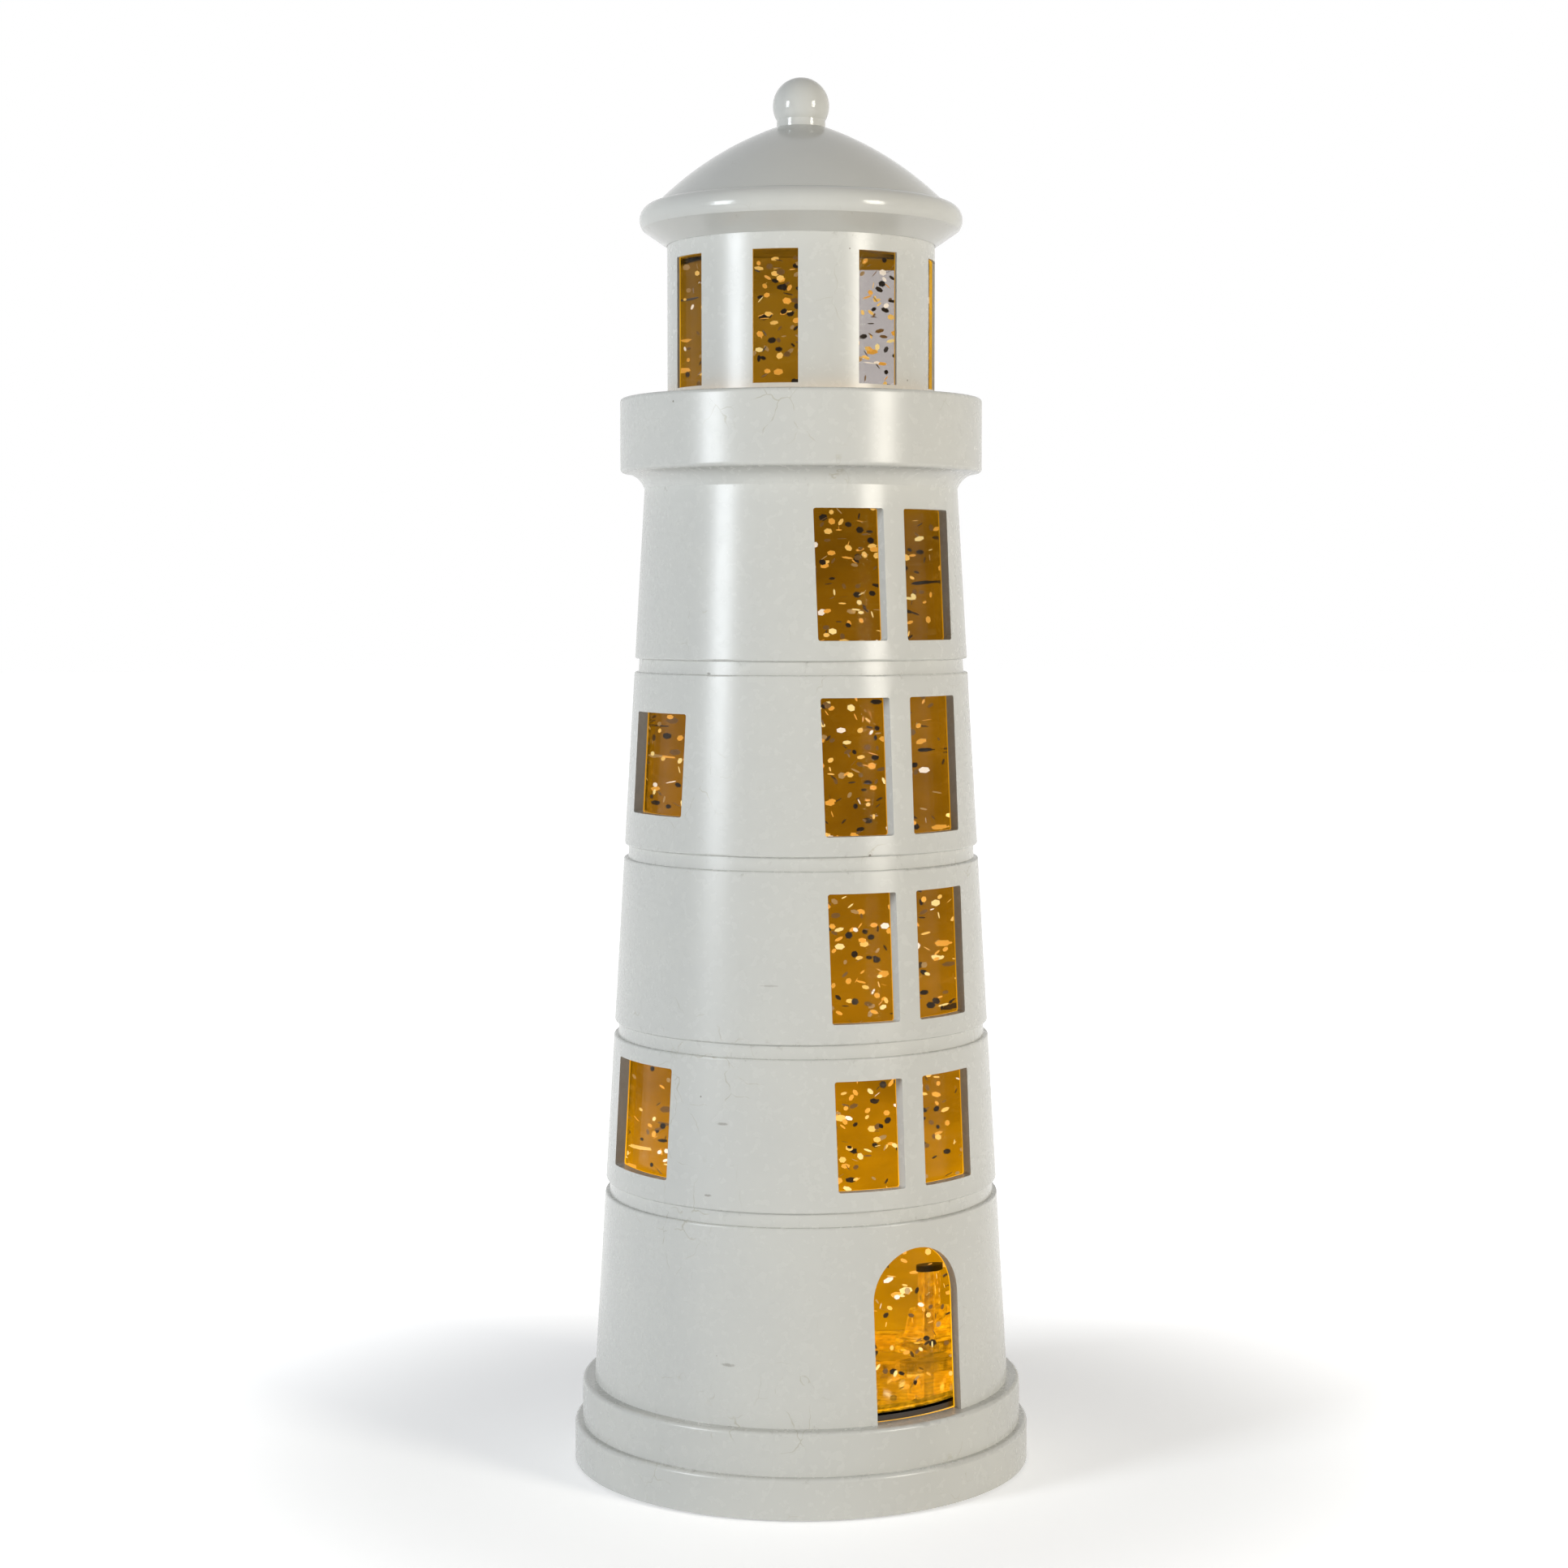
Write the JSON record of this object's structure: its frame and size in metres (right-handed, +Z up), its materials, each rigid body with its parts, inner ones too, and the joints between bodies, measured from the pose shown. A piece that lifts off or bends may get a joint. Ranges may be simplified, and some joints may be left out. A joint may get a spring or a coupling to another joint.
{
  "type": "garden lighthouse ornament",
  "caption": "Lighthouse-shaped lantern: a white windowed tower round a clear, lit vessel of liquid, in which a magnet-driven impeller swirls glitter.",
  "frame": {"origin": "middle of the plinth on the ground, at the underside of the rubber feet", "axes": "+Z up along the tower, the door faces -Y, +X to the right of the door"},
  "size_m": [0.118, 0.118, 0.3556],
  "materials": {
    "white_paint": "satin",
    "white_gloss": "gloss",
    "clear_plastic": "gloss",
    "glitter_liquid": "gloss",
    "black_rubber": "matte",
    "magnet": "satin",
    "steel": "satin",
    "iron": "matte",
    "copper": "satin",
    "bronze": "satin",
    "carbon": "matte",
    "dark_plastic": "satin",
    "white_nylon": "satin",
    "deck_white": "satin",
    "circuit_board": "satin",
    "led": "gloss",
    "cell_jacket": "satin",
    "lead_insulation": "satin"
  },
  "bodies": {
    "root": {"base_pan": "white_paint", "base_screws": "steel", "battery_cells": "cell_jacket", "battery_leads": "lead_insulation", "board_chips": "dark_plastic", "board_screws": "steel", "contact_plates": "steel", "contact_springs": "steel", "control_board": "circuit_board", "deck_plate": "deck_white", "filler_plug": "clear_plastic", "finial": "white_gloss", "finial_screw": "steel", "gallery_ring": "white_paint", "glitter_fluid": "glitter_liquid", "hinge_pin": "steel", "impeller_spindle": "steel", "lantern_room": "white_paint", "led_board": "circuit_board", "led_leads": "lead_insulation", "leds": "led", "liquid_vessel": "clear_plastic", "motor_brushes": "carbon", "motor_bushes": "bronze", "motor_can": "steel", "motor_end_cap": "white_nylon", "motor_leads": "lead_insulation", "motor_pad": "black_rubber", "motor_strap": "steel", "roof_cap": "white_paint", "rubber_feet": "black_rubber", "spindle_cap": "dark_plastic", "stator_magnets": "magnet", "strap_screws": "steel", "switch_body": "dark_plastic", "tower_shell": "white_paint", "vessel_floor": "clear_plastic", "vessel_gasket": "black_rubber"},
    "battery_door": {"battery_door": "white_paint"},
    "motor_rotor": {"motor_shaft": "steel", "armature_core": "iron", "armature_windings": "copper", "commutator": "copper", "magnet_carrier": "white_nylon", "drive_magnets": "magnet"},
    "impeller": {"impeller": "clear_plastic", "impeller_magnet": "magnet"},
    "switch_knob": {"switch_knob": "dark_plastic"}
  },
  "joints": [
    {"name": "motor_spin", "type": "hinge", "parent": "root", "child": "motor_rotor", "pos_m": [0.027, 0, 0.01], "axis": [0, 0, 1], "continuous": true},
    {"name": "impeller_spin", "type": "hinge", "parent": "root", "child": "impeller", "pos_m": [0.027, 0, 0.03], "axis": [0, 0, 1], "continuous": true},
    {"name": "switch_slide", "type": "slide", "parent": "root", "child": "switch_knob", "axis": [1, 0, 0], "range_m": [-0.002, 0.002]},
    {"name": "battery_door_hinge", "type": "hinge", "parent": "root", "child": "battery_door", "pos_m": [-0.03525, 0, 0.0031], "axis": [0, 1, 0], "range_deg": [0, 95]}
  ],
  "couplings": [
    {"joint": "impeller_spin", "follows": "motor_spin", "ratio": 1}
  ]
}
